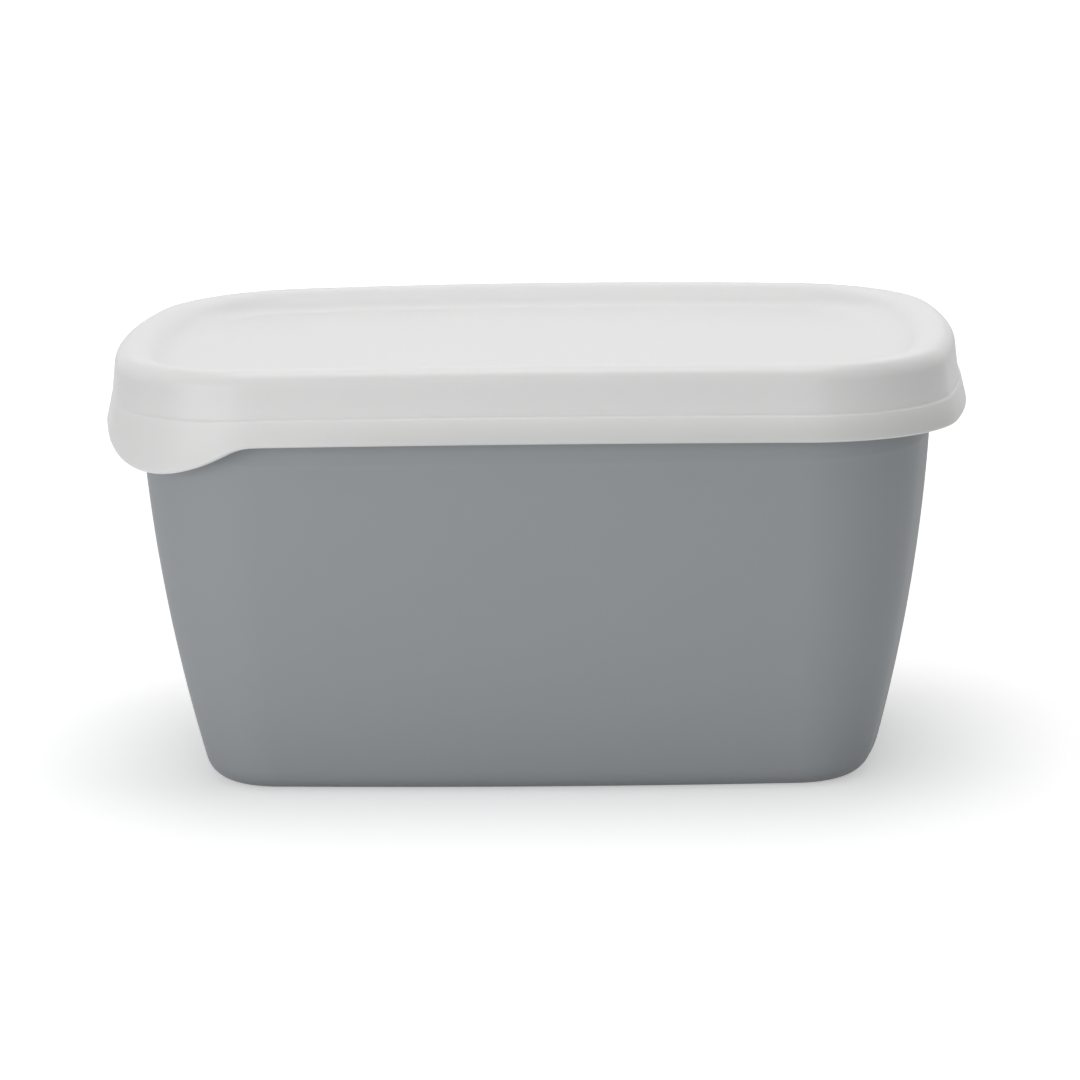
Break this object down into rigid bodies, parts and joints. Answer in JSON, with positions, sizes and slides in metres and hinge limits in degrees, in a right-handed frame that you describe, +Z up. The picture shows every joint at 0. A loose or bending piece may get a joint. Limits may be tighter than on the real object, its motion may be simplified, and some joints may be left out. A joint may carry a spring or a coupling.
{
  "type": "food storage container",
  "caption": "Rounded rectangular food storage tub with tapering walls under a press-on lid with a recessed top, a stepped skirt and a pull tab at one corner.",
  "frame": {"origin": "middle of the flat face that the tub stands on", "axes": "+Z up, towards the lid; +X along the container's length, to the right as seen from the front; -Y the front; the pull tab is at the front left corner"},
  "size_m": [0.164, 0.114, 0.0825],
  "materials": {
    "tub_plastic": "translucent grey polypropylene, finely grained, satin",
    "lid_plastic": "opaque white polypropylene, satin"
  },
  "bodies": {
    "root": {"tub": "tub_plastic", "lid": "lid_plastic"}
  },
  "joints": []
}
